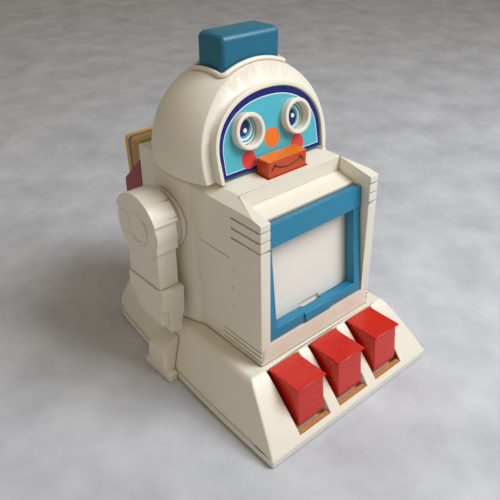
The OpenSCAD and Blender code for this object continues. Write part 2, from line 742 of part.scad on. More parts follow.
// The hat's block between two levels, drawn in by an inset.
module hat_block(inset, z0, z1)
  box([inset - hat_w / 2, hat_y - hat_d / 2 + inset, z0], [hat_w / 2 - inset, hat_y + hat_d / 2 - inset, z1]);

module hat_button() color(blue) from_rim() difference() {
  hull() {
    hat_block(0, hat_z - hat_skirt, hat_z + hat_h - 1.6);
    hat_block(1.4, hat_z, hat_z + hat_h);
  }
  hat_block(hat_wall, 0, hat_inner_z);
}

// Raised bead with round corners that follows the dome round the hat.
module hat_collar() color(cream) from_rim() difference() {
  intersection() {
    translate([0, hat_y, dome_z]) linear_extrude(dome_r + 2 * collar_t) polygon(concat(
      arc(hat_w / 2, hat_d / 2, collar_w, 0, 90, 6), arc(-hat_w / 2, hat_d / 2, collar_w, 90, 180, 6),
      arc(-hat_w / 2, -hat_d / 2, collar_w, 180, 270, 6), arc(hat_w / 2, -hat_d / 2, collar_w, 270, 360, 6)));
    translate([0, dome_y, dome_z]) sphere(r = dome_r + collar_t, $fn = 180);
  }
  hat_block(-button_gap, 0, 300);
  translate([0, dome_y, dome_z]) sphere(r = dome_r, $fn = 180);
}

// The rack hangs in front of the sleeve, parallel to the face, so that it stays in mesh as it drops.
module hat_rack() color("#C9C6BC") from_rim() difference() {
  union() {
    in_face(eye_up, rack_layer + gear_t) linear_extrude(gear_t) rack_outline(9);
    box([drive_r + 1.5, guide_y - 18.5, sleeve_z], [drive_r + 5.5, guide_y, sleeve_z + 5]);
    box([0, guide_y - 1.5, sleeve_z], [drive_r + 5.5, guide_y + 1.5, sleeve_z + 8]);
    translate([0, guide_y, sleeve_z]) cylinder(r = sleeve_r, h = hat_inner_z - sleeve_z);
  }
  translate([0, guide_y, sleeve_z - over])
    cylinder(r = guide_r + run_fit, h = hat_inner_z - sleeve_z - 2 + over);
}

// Rack teeth that face the drive gear, from just below its centre upwards.
module rack_outline(teeth) {
  pitch = PI * gear_module;
  half = pitch / 4 - backlash / 4;
  add = 0.9 * gear_module;
  slope = tan(20) * add;
  polygon(concat(
    [[drive_r + 5.5, 24], [drive_r + 5.5, -2 * pitch], [drive_r + add * 1.2, -2 * pitch]],
    [for (k = [-1.5:1:teeth - 3.5]) let(u = (k + 1) * pitch) each
      [[drive_r + add * 1.2, u - half - slope * 1.2], [drive_r - add, u - half + slope],
        [drive_r - add, u + half - slope], [drive_r + add * 1.2, u + half + slope * 1.2]]],
    [[drive_r + add * 1.2, 24]]));
}

module hat_guide() color("#C9C6BC") from_rim() {
  box([-30, guide_y - 8, shelf_z], [30, guide_y + 14, shelf_z + wall]);
  for (side = [-1, 1]) mirrored(side) box([30 - wall, guide_y - 8, deck_z], [30, guide_y + 14, shelf_z]);
  translate([0, guide_y, shelf_z + wall]) cylinder(r = guide_r, h = hat_z + 2 - shelf_z - wall);
}

module hat_spring() color(steel) from_rim() translate([0, guide_y, shelf_z + wall])
  coil(5.4, 0.9, sleeve_z - shelf_z - wall - 0.1, 9);

// Places children at a shoulder: x outwards from the middle of the robot, y and z from the pivot.
module at_shoulder(side) from_rim() mirrored(side) translate([0, shoulder_y, shoulder_z]) children();

// Extrudes an outline drawn in y and z from one x to another.
module slab(x0, x1) translate([x0, 0, 0]) rotate([90, 0, 90]) linear_extrude(x1 - x0) children();

module disc_x(x0, x1, r) translate([x0, 0, 0]) rotate([0, 90, 0]) cylinder(r = r, h = x1 - x0);

module arm(side) color(cream) at_shoulder(side) difference() {
  union() {
    disc_x(arm_x + 0.8, arm_x + arm_w - 0.8, shoulder_r - 2);
    intersection() {
      disc_x(arm_x, arm_x + arm_w, shoulder_r);
      box([0, -40, 9.4], [base_w, 40, 40]);
    }
    slab(arm_x + 0.4, arm_x + arm_w - 0.4)
      polygon([[-22.4, 9.4], [-22.8, -11.4], [20.3, -9.2], [11, -8.6], [0, 9.4]]);
    slab(arm_x + 1.4, arm_x + arm_w - 1.4)
      polygon([[-21.1, -10], [-21.1, -41], [16.4, -41], [15.6, -20], [20.3, -9.2]]);
  }
  disc_x(0, arm_x + arm_w - 5, pivot_d / 2);
  disc_x(arm_x + arm_w - 2.4, base_w, boss_r);
  translate([arm_x + arm_w / 2, -4, -41 - over]) cylinder(r = 3, h = 11);
}

module hand(side) color(cream) at_shoulder(side) {
  slab(arm_x, arm_x + arm_w) polygon([[-25.9, -41], [-25, -57.2], [-22.3, -57.2], [-22.3, -70.7],
    [6, -67.7], [10.1, -59.4], [17, -54.1], [16.8, -41]]);
  translate([0, -17, 0]) rotate([90, 0, 0]) linear_extrude(8)
    polygon([[arm_x, -57], [arm_x + 12.4, -57], [arm_x + 12.4, -78], [arm_x + 3.2, -78],
      [arm_x + 3.2, -72], [arm_x, -60]]);
  translate([arm_x + arm_w / 2, -4, -42]) cylinder(r = 3, h = 10.8);
}

module shoulder_boss(side) color(cream) at_shoulder(side) difference() {
  disc_x(arm_x + arm_w - 2.4, arm_x + arm_w + 0.2, boss_r);
  disc_x(arm_x + arm_w - 0.6, base_w, boss_r - 2.4);
}

module shoulder_rings(side) color(cream) difference() {
  at_shoulder(side) difference() {
    union() {
      disc_x(barrel_top_r - 12, rings_x - 4.4, 21.5);
      disc_x(barrel_top_r - 12, rings_x - 2.2, 19);
      disc_x(barrel_top_r - 12, rings_x, 16);
    }
    disc_x(0, base_w, pivot_d / 2 + run_fit);
  }
  from_rim() torso_form(0);
}

module arm_pivot(side) color(steel) at_shoulder(side)
  disc_x(barrel_top_r - 7.5, arm_x + arm_w - 5, pivot_d / 2);

module pivot_clip(side) color(steel) at_shoulder(side) difference() {
  disc_x(barrel_top_r - 6, barrel_top_r - 4.6, pivot_d / 2 + 3);
  disc_x(0, base_w, pivot_d / 2);
}

module arm_left() arm(-1);
module arm_right() arm(1);
module hand_left() hand(-1);
module hand_right() hand(1);
module shoulder_boss_left() shoulder_boss(-1);
module shoulder_boss_right() shoulder_boss(1);
module shoulder_rings_left() shoulder_rings(-1);
module shoulder_rings_right() shoulder_rings(1);
module arm_pivot_left() arm_pivot(-1);
module arm_pivot_right() arm_pivot(1);
module pivot_clip_left() pivot_clip(-1);
module pivot_clip_right() pivot_clip(1);

module card_box() color(cream) from_rim() difference() {
  box([-box_hw, barrel_y, base_h], [box_hw, rack_y, edge_z - 1]);
  box([wall - box_hw, barrel_y - over, base_h - over], [box_hw - wall, rack_y - wall, edge_z - 1 - wall]);
  torso_form(0);
}

module card_rack() color("#A83A48") from_rim() difference() {
  across(card_w / 2 + 0.6 + rack_wall)
    polygon([[rack_y, rack_z], [rack_y + rack_l, rack_z], [rack_y + rack_l, rack_z + 28],
      [rack_y, rack_z + 51]]);
  box([-card_w / 2 - 0.6, 0, rack_z + rack_wall], [card_w / 2 + 0.6, rack_y + rack_l - rack_wall, 300]);
}

module card(i) from_rim() translate([0, rack_y + 0.3 + i * card_pitch, rack_z + rack_wall + 0.1])
  rotate([-card_lean, 0, 0]) box([-card_w / 2, 0, 0], [card_w / 2, card_t, card_h]);

module cards_olive() color("#A9A56A") for (i = [0:3]) card(i);
module cards_orange() color("#E58A3C") for (i = [4:6]) card(i);
module cards_blue() color("#3D7FB4") for (i = [7:8]) card(i);
module cards_yellow() color("#E2B93C") for (i = [9:11]) card(i);

base_shell();
base_plate();
rubber_feet();
base_screws();
foot_block_left();
foot_block_right();
key_left();
key_middle();
key_right();
key_shaft();
key_stops();
key_spring_left();
key_spring_middle();
key_spring_right();
torso_front();
torso_rear();
torso_screws();
window_frame();
window_pins();
picture_panel();
mouth_button();
mouth_guide();
mouth_spring();
head_front();
head_rear();
head_screws();
face_plate();
face_label();
eye_bezel_left();
eye_bezel_right();
eye_disc_left();
eye_disc_right();
eye_gear_left();
eye_gear_right();
drive_gear();
gear_plate();
gear_plate_screws();
hat_button();
hat_collar();
hat_rack();
hat_guide();
hat_spring();
arm_left();
arm_right();
hand_left();
hand_right();
shoulder_boss_left();
shoulder_boss_right();
shoulder_rings_left();
shoulder_rings_right();
arm_pivot_left();
arm_pivot_right();
pivot_clip_left();
pivot_clip_right();
card_box();
card_rack();
cards_olive();
cards_yellow();
cards_blue();
cards_orange();
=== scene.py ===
# A child's desk-top quiz robot, moulded in cream ABS with blue, red and orange press parts.
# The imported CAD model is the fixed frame, in metres: +Z up, the robot faces -Y, origin under its middle.
import json
import math

import bmesh
import bpy
from mathutils import Matrix, Vector

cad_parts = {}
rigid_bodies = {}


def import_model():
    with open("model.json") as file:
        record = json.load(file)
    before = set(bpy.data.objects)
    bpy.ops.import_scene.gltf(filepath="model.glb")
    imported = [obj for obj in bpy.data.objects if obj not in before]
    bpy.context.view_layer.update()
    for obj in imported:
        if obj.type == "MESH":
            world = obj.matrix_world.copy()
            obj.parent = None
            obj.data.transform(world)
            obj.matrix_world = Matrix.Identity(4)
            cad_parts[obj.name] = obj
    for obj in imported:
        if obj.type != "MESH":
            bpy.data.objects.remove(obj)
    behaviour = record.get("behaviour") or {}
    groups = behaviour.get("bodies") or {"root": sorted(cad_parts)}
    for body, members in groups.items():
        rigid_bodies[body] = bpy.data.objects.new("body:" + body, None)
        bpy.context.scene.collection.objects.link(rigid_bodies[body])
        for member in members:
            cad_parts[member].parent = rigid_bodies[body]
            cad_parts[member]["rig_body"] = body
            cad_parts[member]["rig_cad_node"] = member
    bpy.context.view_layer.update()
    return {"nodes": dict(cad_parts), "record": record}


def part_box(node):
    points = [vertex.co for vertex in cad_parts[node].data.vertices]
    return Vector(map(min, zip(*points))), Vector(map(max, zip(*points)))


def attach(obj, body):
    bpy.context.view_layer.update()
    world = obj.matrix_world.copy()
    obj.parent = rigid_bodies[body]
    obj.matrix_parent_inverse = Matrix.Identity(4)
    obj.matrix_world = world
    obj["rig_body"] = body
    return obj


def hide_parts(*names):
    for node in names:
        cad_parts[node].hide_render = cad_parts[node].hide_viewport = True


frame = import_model()

# ---------------------------------------------------------------- base
# The real base is one cream ABS moulding, open below, closed by a shallow tray that shows as a rim.
# Satin steel moulds give it a fine even grain. A cream block at each side is the robot's foot, and
# the toy stands on four soft pads under the tray.
MM = 0.001


def linear(hex_colour):
    """An sRGB hex colour as the linear values that Blender's sockets take."""
    values = [int(hex_colour[i:i + 2], 16) / 255 for i in (1, 3, 5)]
    return [v / 12.92 if v <= 0.04045 else ((v + 0.055) / 1.055) ** 2.4 for v in values] + [1.0]


def add_node(tree, kind, settings=(), links=()):
    """Adds a node, sets its sockets or its own settings, and links its inputs, by name or number.
    A mix of colours takes them at 6 and 7 and gives its result at output 2."""
    new = tree.nodes.new(kind)
    for key, value in dict(settings).items():
        if isinstance(key, str) and hasattr(new, key):
            setattr(new, key, value)
        else:
            new.inputs[key].default_value = value
    for key, source in dict(links).items():
        tree.links.new(source, new.inputs[key])
    return new


def new_material(name):
    """An empty material: its node tree, its shader and its Object coordinates."""
    material = bpy.data.materials.new(name)
    material.use_nodes = True
    tree = material.node_tree
    place = add_node(tree, "ShaderNodeTexCoord").outputs["Object"]
    return material, tree, tree.nodes["Principled BSDF"], place


def moulded(name, colour, roughness, shade, grain_mm, seam_shade=None, art=None):
    """Injection-moulded plastic: a colour that drifts slowly, a fine satin grain from the steel mould,
    scuffs that change the gloss, and, where a shade colour is given, a painted shade of it down in
    the seams and recesses, where ambient occlusion finds them. A print is art(tree, place, colour),
    which returns that colour with the print over it."""
    drift_mm = 45.5
    scuff_mm = 7.14
    seam_depth = 2.2 * MM
    material, tree, shader, place = new_material(name)
    shader.inputs["IOR"].default_value = 1.54
    drift = add_node(tree, "ShaderNodeTexNoise", {"Scale": 1 / (drift_mm * MM), "Detail": 3},
                     {"Vector": place})
    base = linear(colour)
    final = add_node(tree, "ShaderNodeMix",
                     {"data_type": "RGBA", 6: [c * (1 - shade) for c in base[:3]] + [1],
                      7: [min(1, c * (1 + shade * 0.6)) for c in base[:3]] + [1]},
                     {0: drift.outputs["Fac"]}).outputs[2]
    if art:
        final = art(tree, place, final)
    # Painted shade: the colour darkens towards the given yellow-brown where ambient occlusion finds seams
    # and recesses.
    if seam_shade:
        seam = add_node(tree, "ShaderNodeAmbientOcclusion", {"samples": 6, "Distance": seam_depth})
        depth = add_node(tree, "ShaderNodeMapRange",
                         {"From Min": 0.25, "From Max": 0.85, "To Min": 0.7, "To Max": 0.0},
                         {"Value": seam.outputs["AO"]})
        final = add_node(tree, "ShaderNodeMix", {"data_type": "RGBA", 7: linear(seam_shade)},
                         {0: depth.outputs["Result"], 6: final}).outputs[2]
    tree.links.new(final, shader.inputs["Base Color"])
    scuff = add_node(tree, "ShaderNodeTexNoise",
                     {"Scale": 1 / (scuff_mm * MM), "Detail": 6, "Roughness": 0.65}, {"Vector": place})
    gloss = add_node(tree, "ShaderNodeMapRange",
                     {"From Min": 0.35, "From Max": 0.75, "To Min": roughness - 0.06,
                      "To Max": roughness + 0.12}, {"Value": scuff.outputs["Fac"]})
    tree.links.new(gloss.outputs["Result"], shader.inputs["Roughness"])
    grain = add_node(tree, "ShaderNodeTexNoise", {"Scale": 1 / (grain_mm * MM), "Detail": 2},
                     {"Vector": place})
    bump = add_node(tree, "ShaderNodeBump", {"Strength": 0.1, "Distance": 0.05 * MM},
                    {"Height": grain.outputs["Fac"]})
    tree.links.new(bump.outputs["Normal"], shader.inputs["Normal"])
    return material


def take(piece):
    """Selects one piece alone and makes it active."""
    bpy.ops.object.select_all(action="DESELECT")
    piece.select_set(True)
    bpy.context.view_layer.objects.active = piece


def modify(piece, kind, **settings):
    """Adds a modifier to a piece, sets it and applies it."""
    take(piece)
    bpy.ops.object.modifier_add(type=kind)
    added = piece.modifiers[-1]
    for key, value in settings.items():
        setattr(added, key, value)
    bpy.ops.object.modifier_apply(modifier=added.name)


def smooth(piece, angle=32):
    """Shades a piece smooth up to an angle and weights its normals by the faces' areas."""
    take(piece)
    bpy.ops.object.shade_smooth_by_angle(angle=math.radians(angle))
    modify(piece, "WEIGHTED_NORMAL", keep_sharp=True, weight=60)
    return piece


def merged(node, name, whole=False):
    """A copy of a CAD node with its corners merged and, if asked, its flat faces made whole."""
    source = frame["nodes"][node]
    piece = source.copy()
    piece.data = source.data.copy()
    piece.name = name
    piece.parent = None
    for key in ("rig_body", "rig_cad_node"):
        del piece[key]
    bpy.context.scene.collection.objects.link(piece)
    take(piece)
    bpy.ops.object.mode_set(mode="EDIT")
    bpy.ops.mesh.select_all(action="SELECT")
    bpy.ops.mesh.remove_doubles(threshold=0.002 * MM)
    if whole:
        bpy.ops.mesh.dissolve_limited(angle_limit=math.radians(0.8))
    bpy.ops.object.mode_set(mode="OBJECT")
    return piece


def softened(node, name, edge_mm, segments=3, shortest_mm=2.5, seam_y=None):
    """A merged copy whose outer corners get the small radius of a real moulding. Edges shorter than
    the given length stay sharp, and so do those on an upright seam, where two mouldings meet."""
    corner = math.radians(28)
    seam_width = 0.05 * MM
    piece = merged(node, name)
    shape = bmesh.new()
    shape.from_mesh(piece.data)
    weight = shape.edges.layers.float.new("bevel_weight_edge")
    for edge in shape.edges:
        outer = len(edge.link_faces) == 2 and edge.calc_face_angle_signed() > corner
        on_seam = seam_y is not None and all(abs(v.co.y - seam_y) < seam_width for v in edge.verts)
        if outer and not on_seam and edge.calc_length() > shortest_mm * MM:
            edge[weight] = 1
    shape.to_mesh(piece.data)
    shape.free()
    modify(piece, "BEVEL", width=edge_mm * MM, segments=segments, limit_method="WEIGHT",
           use_clamp_overlap=False)
    return smooth(piece)


def dress(piece, material, slot, body, *nodes):
    """Gives a finished piece its material, its body and the CAD nodes it stands for. The record slot is not
    used.
    """
    piece.data.materials.clear()
    piece.data.materials.append(material)
    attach(piece, body)
    if nodes:
        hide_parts(*nodes)


# Satin cream ABS: soft broad highlights, and a painted shade of darker yellow-brown in its joints and
# recesses.
cream = moulded("cream_abs", "#E9E5D6", 0.36, 0.03, 0.7, seam_shade="#94805A")
# Soft pale rubber: a dull face that takes up dust.
rubber = moulded("pale_rubber", "#CFCBBE", 0.75, 0.08, 0.4)
dress(softened("base_shell", "base_moulding", 1.2), cream, "cream_abs", "shell", "base_shell")
dress(softened("base_plate", "base_tray", 0.35), cream, "cream_abs", "shell", "base_plate")
for side in ("left", "right"):
    dress(softened("foot_block_" + side, "foot_" + side, 0.8), cream, "cream_abs", "shell",
          "foot_block_" + side)
dress(softened("rubber_feet", "feet", 0.3, 3, 0.5), rubber, "foot_rubber", "shell", "rubber_feet")

# ---------------------------------------------------------------- keys
# Three hollow red ABS keys, glossier than the body, each turn on the same steel shaft behind the
# slope. Each is held up by a coil spring and stops on a strip of orange foam at the front of its well.
# Glossy red ABS: tight highlights on its rounded edges and faint rub marks from fingers.
red = moulded("red_abs", "#CC1F0A", 0.28, 0.05, 0.8)
for key, body in (("left", "key_l"), ("middle", "key_m"), ("right", "key_r")):
    dress(softened("key_" + key, "press_key_" + key, 0.8, 4), red, "red_abs", body, "key_" + key)
# Open-cell foam: a matt face broken up by pores of about half a millimetre, with a painted shade that
# darkens each pore towards its middle.
pore_mm = 0.6
foam, foam_tree, foam_shader, foam_place = new_material("orange_foam")
pores = add_node(foam_tree, "ShaderNodeTexVoronoi", {"Scale": 1 / (pore_mm * MM)}, {"Vector": foam_place})
# Painted shade: the orange darkens towards the middle of each pore, where the bump sinks it.
foam_pore_shade = add_node(foam_tree, "ShaderNodeMix",
                     {"data_type": "RGBA", 6: linear("#8F5A26"), 7: linear("#E0A05A")},
                     {0: pores.outputs["Distance"]})
foam_tree.links.new(foam_pore_shade.outputs[2], foam_shader.inputs["Base Color"])
foam_shader.inputs["Roughness"].default_value = 0.9
foam_bump = add_node(foam_tree, "ShaderNodeBump", {"Strength": 0.6, "Distance": 0.3 * MM},
                     {"Height": pores.outputs["Distance"]})
foam_tree.links.new(foam_bump.outputs["Normal"], foam_shader.inputs["Normal"])
dress(softened("key_stops", "foam_strips", 0.4), foam, "stop_foam", "shell", "key_stops")

# ---------------------------------------------------------------- torso
# Two cream ABS halves, a square front and a round back, meet at an upright seam by the shoulders.
# Moulded grooves and louvres mark the front pillars; the chest holds a sloping chute for the window.
dress(softened("torso_front", "torso_front_half", 0.3, 3, 4), cream, "cream_abs", "shell", "torso_front")
dress(softened("torso_rear", "torso_rear_half", 0.5, 3, 6), cream, "cream_abs", "shell", "torso_rear")

# ---------------------------------------------------------------- window
# A blue ABS frame hinges on two steel pins at its header and carries a tab for the thumb at its sill.
# Behind it a matt white sheet backs the picture cards.
# Satin blue ABS: deep colour with a soft sheen along its edges.
blue = moulded("blue_abs", "#1480A6", 0.33, 0.06, 0.5)
# Matt white polystyrene sheet: no sheen, faint grey handling marks.
sheet_white = moulded("white_sheet", "#ECE9E0", 0.6, 0.05, 0.5)
dress(softened("window_frame", "window_surround", 0.35, 3, 3), blue, "blue_abs", "window", "window_frame")
dress(softened("picture_panel", "picture_backing", 0.15, 2), sheet_white, "panel_white", "shell",
      "picture_panel")

# ---------------------------------------------------------------- mouth
# The mouth is a glossy orange ABS button that presses straight down. Its smile is printed in black
# across the front, with a short tick at each end.
smile_w = 24 * MM
smile_sag = 3.2 * MM
smile_down = 5.3 * MM
smile_steps = 24
tick_w = 2.1 * MM
tick_slope = 1.9 * MM
tick_bow = 0.9 * MM
ink_r = 0.45 * MM


def mouth_painted_shade(tree, place, colour):
    """Painted shade: the moulding's upright faces are given a darker, redder orange than its top."""
    facing = add_node(tree, "ShaderNodeNewGeometry").outputs["Normal"]
    parts = add_node(tree, "ShaderNodeSeparateXYZ", {}, {"Vector": facing})
    upright = add_node(tree, "ShaderNodeMapRange", {"From Min": 0.75, "From Max": 0.2},
                       {"Value": parts.outputs["Z"]})
    return add_node(tree, "ShaderNodeMix", {"data_type": "RGBA", 7: linear("#C84205")},
                    {0: upright.outputs["Result"], 6: colour}).outputs[2]


def tube(name, points, radius, closed=False):
    """A round bead of one radius along a run of points, made as a curve and turned into a mesh."""
    curve = bpy.data.curves.new(name, "CURVE")
    curve.dimensions = "3D"
    curve.bevel_depth = radius
    curve.bevel_resolution = 6
    curve.use_fill_caps = not closed
    spline = curve.splines.new("POLY")
    spline.points.add(len(points) - 1)
    for point, place in zip(spline.points, points):
        point.co = (*place, 1)
    spline.use_cyclic_u = closed
    piece = bpy.data.objects.new(name, curve)
    bpy.context.scene.collection.objects.link(piece)
    take(piece)
    bpy.ops.object.convert(target="MESH")
    return bpy.context.object


# Glossy orange ABS, with a painted shade that makes its front and sides darker and redder than its top.
orange = moulded("orange_abs", "#E87302", 0.24, 0.05, 0.8, art=mouth_painted_shade)
# Screen ink: black with a slight gloss.
ink = moulded("black_ink", "#17120F", 0.4, 0.1, 0.4)
dress(softened("mouth_button", "mouth_press", 0.9, 4), orange, "orange_abs", "mouth", "mouth_button")
mouth_low, mouth_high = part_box("mouth_button")
smile_z = mouth_high[2] - smile_down
mouth_front = mouth_low[1] + 0.05 * MM
smile = []
for i in range(smile_steps + 1):
    across = -1 + 2 * i / smile_steps
    smile.append((across * smile_w / 2, mouth_front, smile_z + smile_sag * (across * across - 0.5)))
dress(tube("smile_line", smile, ink_r), ink, "orange_abs", "mouth")
for side, sign in (("left", -1), ("right", 1)):
    tick = [(sign * (smile_w / 2 + t * tick_w), mouth_front,
             smile_z + smile_sag / 2 - tick_slope * t - tick_bow * t * t) for t in (-1, -0.5, 0, 0.5, 1)]
    dress(tube("smile_tick_" + side, tick, ink_r), ink, "orange_abs", "mouth")

# ---------------------------------------------------------------- head
# The dome is two cream ABS shells that meet at an upright seam and are screwed together. A raised
# bead of the same plastic runs round the hat's opening.
seam_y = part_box("head_front")[1][1]
dress(softened("head_front", "dome_front", 0.8, 4, 2, seam_y), cream, "cream_abs", "shell", "head_front")
dress(softened("head_rear", "dome_rear", 0.3, 3, 2, seam_y), cream, "cream_abs", "shell", "head_rear")
# The ball that the dome is cut from. The bead rests on it, raised a little.
dome_centre = Vector((0, 0.0102, 0.1615))
dome_r = 61.9 * MM
bead_r = 1.7 * MM
bead_lift = 0.8 * MM
bead_corner = 3.2 * MM
bead_step = 1.5 * MM
corner_steps = 8
collar_low, collar_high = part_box("hat_collar")
bead_hw = (collar_high[0] - collar_low[0]) / 2 - bead_r
bead_hd = (collar_high[1] - collar_low[1]) / 2 - bead_r
collar_y = (collar_high[1] + collar_low[1]) / 2
route = []
for corner, (sx, sy) in enumerate(((1, 1), (-1, 1), (-1, -1), (1, -1))):
    for step in range(corner_steps + 1):
        turn = math.radians(90 * corner + 90 * step / corner_steps)
        route.append(Vector((sx * (bead_hw - bead_corner) + bead_corner * math.cos(turn),
                             collar_y + sy * (bead_hd - bead_corner) + bead_corner * math.sin(turn))))
ring = []
for i, place in enumerate(route):
    following = route[(i + 1) % len(route)]
    steps = max(1, round((following - place).length / bead_step))
    ring += [place.lerp(following, k / steps) for k in range(steps)]
bead = [(p.x, p.y, dome_centre.z + bead_lift +
         math.sqrt(dome_r ** 2 - p.x ** 2 - (p.y - dome_centre.y) ** 2)) for p in ring]
dress(smooth(tube("hat_bead", bead, bead_r, True), 60), cream, "cream_abs", "shell", "hat_collar")

# ---------------------------------------------------------------- face
# A teal plate closes the dome. A printed label on it has a navy border, an orange nose and two pink
# cheeks. Cream bezels stand round the eyes; behind them printed discs turn on white pins.
face_origin = Vector((0, -0.0237, 0.1587))
face_lean = math.radians(12)
eye_up = 26.6 * MM
eye_x = 21 * MM


def in_plane(tree, place, x, up):
    """Coordinates in the plane of the face, in millimetres, measured from a point on it."""
    centre = face_origin + Vector((x, up * math.sin(face_lean), up * math.cos(face_lean)))
    laid = add_node(tree, "ShaderNodeVectorMath", {"operation": "SUBTRACT", 1: centre}, {0: place})
    turned = add_node(tree, "ShaderNodeVectorRotate", {"rotation_type": "X_AXIS", "Angle": face_lean},
                      {"Vector": laid.outputs[0]})
    scaled = add_node(tree, "ShaderNodeVectorMath", {"operation": "SCALE", "Scale": 1 / MM},
                      {0: turned.outputs[0]})
    flat = add_node(tree, "ShaderNodeVectorMath", {"operation": "MULTIPLY", 1: (1, 0, 1)},
                    {0: scaled.outputs[0]})
    return flat.outputs[0]


def spot(tree, plane, x, up, radius, under, colour):
    """Prints a round spot over the colour under it, with an edge as soft as a printed one."""
    blur = 0.08
    reach = add_node(tree, "ShaderNodeVectorMath", {"operation": "DISTANCE", 1: (x, 0, up)}, {0: plane})
    mask = add_node(tree, "ShaderNodeMapRange", {"From Min": radius + blur, "From Max": radius - blur},
                    {"Value": reach.outputs["Value"]})
    return add_node(tree, "ShaderNodeMix", {"data_type": "RGBA", 7: linear(colour)},
                    {0: mask.outputs["Result"], 6: under}).outputs[2]


def label_art(tree, place, colour):
    """Navy border, a hairline of white inside it, and the teal field with nose and cheeks. The outline
    is straight up to a height and closes in a broad arch over it, where the border is a little wider.
    All sizes are millimetres, apart from the arch's power and the border's growth."""
    half_width, straight_up, arch_rise = 44.4, 14, 34.6
    arch_power = 2.2
    border_growth = 1.35
    cheek_x, cheek_up, cheek_r = 21.7, 8, 6
    nose_up, nose_r = 17, 6.6
    plane = in_plane(tree, place, 0, 0)
    parts = add_node(tree, "ShaderNodeSeparateXYZ", {}, {"Vector": plane}).outputs
    aside = add_node(tree, "ShaderNodeMath", {"operation": "ABSOLUTE"}, {0: parts["X"]}).outputs[0]
    over = add_node(tree, "ShaderNodeMath", {"operation": "SUBTRACT", 1: straight_up}, {0: parts["Z"]})
    above = add_node(tree, "ShaderNodeMath", {"operation": "MAXIMUM", 1: 0},
                     {0: over.outputs[0]}).outputs[0]
    under = colour
    for border, tone in ((3.0, "#DDEBEE"), (3.5, "#4FB7C9")):
        arch = add_node(tree, "ShaderNodeMath", {"operation": "ADD"})
        for term, (reach, limit) in enumerate(((aside, half_width - border),
                                               (above, arch_rise - border * border_growth))):
            share = add_node(tree, "ShaderNodeMath", {"operation": "DIVIDE", 1: limit}, {0: reach})
            power = add_node(tree, "ShaderNodeMath", {"operation": "POWER", 1: arch_power},
                             {0: share.outputs[0]})
            tree.links.new(power.outputs[0], arch.inputs[term])
        within = add_node(tree, "ShaderNodeMath", {"operation": "LESS_THAN", 1: 1.0}, {0: arch.outputs[0]})
        raised = add_node(tree, "ShaderNodeMath", {"operation": "GREATER_THAN", 1: border},
                          {0: parts["Z"]})
        inside = add_node(tree, "ShaderNodeMath", {"operation": "MULTIPLY"},
                          {0: within.outputs[0], 1: raised.outputs[0]})
        under = add_node(tree, "ShaderNodeMix", {"data_type": "RGBA", 7: linear(tone)},
                         {0: inside.outputs[0], 6: under}).outputs[2]
    for cheek in (-cheek_x, cheek_x):
        under = spot(tree, plane, cheek, cheek_up, cheek_r, under, "#D9483F")
    return spot(tree, plane, 0, nose_up, nose_r, under, "#EE7A1C")


def eye_art(x, lean_x, lean_up):
    """Circles that share less and less of the pupil's offset, and the white pin in the middle. Each
    circle is a radius in millimetres, its share of the offset, and its colour."""
    circles = ((7.9, 0.2, "#3FA6BC"), (7.1, 0.42, "#E9F0EF"), (6.4, 0.66, "#3FA6BC"), (5.7, 1.0, "#1A2368"))
    pin_r = 1.5

    def art(tree, place, colour):
        plane = in_plane(tree, place, x, eye_up)
        under = colour
        for radius, share, tone in circles:
            under = spot(tree, plane, lean_x * share, lean_up * share, radius, under, tone)
        return spot(tree, plane, 0, 0, pin_r, under, "#F2F3EE")
    return art


# Printed vinyl label: flat ink with a thin varnish, glossier than the plastic round it.
label = moulded("printed_label", "#171D72", 0.3, 0.04, 0.5, art=label_art)
# Teal polystyrene plate under the label.
teal = moulded("teal_styrene", "#4CB4C6", 0.4, 0.05, 0.6)
dress(softened("face_label", "face_print", 0.05, 1, 1), label, "face_print", "shell", "face_label")
for side, body, x, lean in (("left", "eye_l", -eye_x, (-2.0, 2.6)),
                            ("right", "eye_r", eye_x, (-2.8, -0.8))):
    dress(softened("eye_bezel_" + side, "bezel_" + side, 0.9, 4, 0.5), cream, "cream_abs", "shell",
          "eye_bezel_" + side)
    # Printed disc: white card stock under a clear varnish.
    disc = moulded("printed_eye_" + side, "#EEF1EC", 0.3, 0.03, 0.5, art=eye_art(x, *lean))
    dress(softened("eye_disc_" + side, "eye_" + side, 0.3, 3, 0.5), disc, "eye_print", body,
          "eye_disc_" + side)

# ---------------------------------------------------------------- hat
# The hat is a hollow blue ABS moulding, open below, that presses down into the dome. Its corners are
# round and its top is crowned, here by insets that each climb a little less than the one before.
hat_insets = ((3.9, 1.3), (3.2, 0.6), (2.6, 0.33), (1.8, 0.17))
hat_crown = sum(rise for reach, rise in hat_insets) * MM
hat_corner = 3.3 * MM
hat_wall = 2.2 * MM
hat_low, hat_high = (Vector(c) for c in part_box("hat_button"))
hat_size = hat_high - hat_low
bpy.ops.object.select_all(action="DESELECT")
bpy.ops.mesh.primitive_cube_add(size=1)
hat = bpy.context.object
hat.name = "hat_block"
hat.scale = (hat_size.x, hat_size.y, hat_size.z - hat_crown)
hat.location = (hat_low + hat_high) / 2 - Vector((0, 0, hat_crown / 2))
bpy.ops.object.transform_apply(location=True, rotation=False, scale=True)
bpy.ops.object.mode_set(mode="EDIT")
bpy.ops.mesh.select_mode(type="FACE")
bpy.ops.mesh.select_all(action="DESELECT")
shape = bmesh.from_edit_mesh(hat.data)
for face in shape.faces:
    face.select = face.normal.z < -0.9
bpy.ops.mesh.delete(type="FACE")
shape = bmesh.from_edit_mesh(hat.data)
for face in shape.faces:
    face.select = face.normal.z > 0.9
bmesh.update_edit_mesh(hat.data)
for reach, rise in hat_insets:
    bpy.ops.mesh.inset(thickness=reach * MM, depth=rise * MM)
bpy.ops.object.mode_set(mode="OBJECT")
modify(hat, "BEVEL", width=hat_corner, segments=6, limit_method="ANGLE", angle_limit=math.radians(50))
